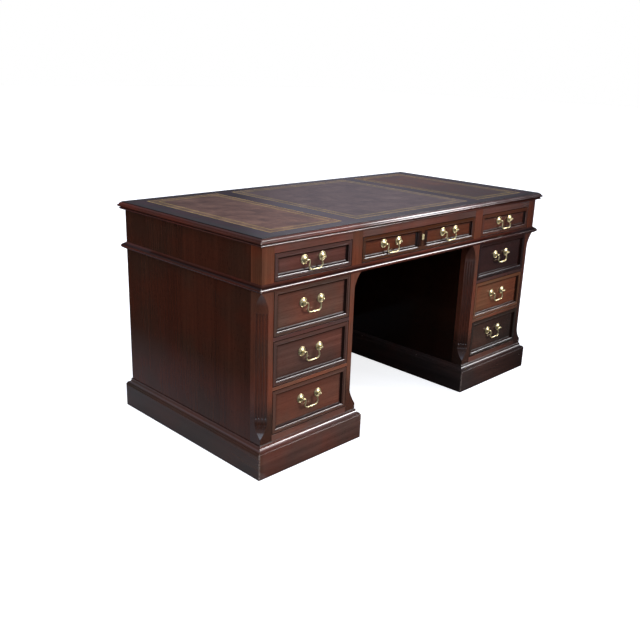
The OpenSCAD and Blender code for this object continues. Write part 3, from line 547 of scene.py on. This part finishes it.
# painted light on the floor: paler off the desk's left end, and a painted sunlit strip far in
# front
paler = g.math("SUBTRACT", g.straight(x, -1.25, -0.82, 0.02, 0.42), FLOOR_GREY)
grey = g.math("MULTIPLY_ADD", g.math("LESS_THAN", x, LEFT_END), paler, FLOOR_GREY)
grey = g.math("MAXIMUM", grey, g.straight(y, -2.9, -3.3, 0.0, 0.9))
white = g.put("ShaderNodeAddShader", g.put("ShaderNodeBsdfDiffuse", rgba(0.80)),
              g.put("ShaderNodeEmission", rgba(1.0), 0.80))
g.finish_for_camera(g.put("ShaderNodeBsdfDiffuse", grey), white)

# ---- World: a room behind, and a low window in front on the right ----------------------

# colour by the height of the direction
SKY = ((0.0, 0.02), (0.10, (0.12, 0.11, 0.13)), (0.16, (0.25, 0.24, 0.29)),
       (0.22, (0.38, 0.36, 0.43)), (0.32, (0.40, 0.38, 0.42)), (0.50, (0.38, 0.42, 0.55)),
       (0.68, (1.10, 1.25, 1.60)))
# brightness by the direction's x: the room's is high in the middle and low to either side
ROOM = ((0.0, 0.8), (0.48, 0.35), (0.62, 0.35), (0.67, 1.0), (0.75, 1.0), (0.80, 0.7),
        (0.87, 0.4))
WINDOW = ((0.585, 0.0), (0.61, 1.0), (0.80, 0.9), (0.83, 0.0))
WINDOW_TOP, WINDOW_SOFT = 0.40, 0.05
WINDOW_STRENGTH = 28.0
WINDOW_COLOUR = (0.97, 0.98, 1.0)
world = bpy.data.worlds.new("studio")
scene.world = world
g = Graph(world, "Generated")
dx, dy, dz = g.xyz
in_front = g.math("LESS_THAN", dy, 0.0)
# the room is brighter on the right and behind
bright_side = g.math("MULTIPLY_ADD", dx, 0.6, g.math("MULTIPLY", dy, 0.8))
strength = g.math("MULTIPLY", g.math("MAXIMUM", g.levels(dx, *ROOM), in_front),
                  g.straight(bright_side, -0.6, 0.8, 0.55, 1.0))
window = g.math("MULTIPLY", g.math("MULTIPLY", g.levels(dx, *WINDOW), in_front),
                g.steps(g.math("SUBTRACT", WINDOW_TOP, dz), 0.0, WINDOW_SOFT,
                        0.0, WINDOW_STRENGTH))
light = g.put("ShaderNodeAddShader",
              g.put("ShaderNodeBackground", g.levels(dz, *SKY), strength),
              g.put("ShaderNodeBackground", rgba(WINDOW_COLOUR), window))
g.finish_for_camera(light, g.put("ShaderNodeBackground", rgba(1.0), 1.0), "World")


# ---- Lamps and a flag ------------------------------------------------------------------

def area(name, place, aim, size, power, colour):
    """A rectangular lamp, turned towards aim, that the camera doesn't see."""
    lamp = bpy.data.lights.new(name, "AREA")
    lamp.shape = "RECTANGLE"
    lamp.size, lamp.size_y = size
    lamp.energy = power
    lamp.color = colour
    obj = bpy.data.objects.new(name, lamp)
    obj.location = place
    obj.rotation_mode = "QUATERNION"
    obj.rotation_quaternion = (Vector(aim) - Vector(place)).to_track_quat("-Z", "Y")
    obj.visible_camera = False
    scene.collection.objects.link(obj)
    return obj


area("key", place=(2.2, -3.9, 2.7), aim=(0, 0, 0.4), size=(1.1, 0.9), power=26,
     colour=(1.0, 0.98, 0.96))
side_fill = area("fill", place=(-4.0, -0.2, 1.4), aim=(0, 0, 0.3), size=(2.0, 1.4), power=34,
                 colour=(1.0, 0.97, 0.95))
side_fill.visible_glossy = False
area("sky", place=(-2.9, -2.5, 2.9), aim=(-0.76, -0.38, 0.2), size=(2.6, 2.6), power=26,
     colour=(0.70, 0.84, 1.0))

# A grey flag just in front of the edge takes most of the window's glare off the top in
# views from behind. Only mirrored rays meet it.
FLAG_Y = -0.42
FLAG_GREY = (0.30, 0.29, 0.33)
flag_low, flag_high, flag_left, flag_right = 0.79, 1.60, -1.0, 2.2
bpy.ops.mesh.primitive_plane_add(
    size=1, location=((flag_left + flag_right) / 2, FLAG_Y, (flag_low + flag_high) / 2),
    rotation=(math.pi / 2, 0, 0))
flag = bpy.context.object
flag.name = "flag"
flag.scale = (flag_right - flag_left, flag_high - flag_low, 1)
flag.visible_camera = flag.visible_diffuse = flag.visible_shadow = False
felt = bpy.data.materials.new("flag")
flag.data.materials.append(felt)
g = Graph(felt)
g.finish(g.put("ShaderNodeEmission", rgba(FLAG_GREY), 1.0))
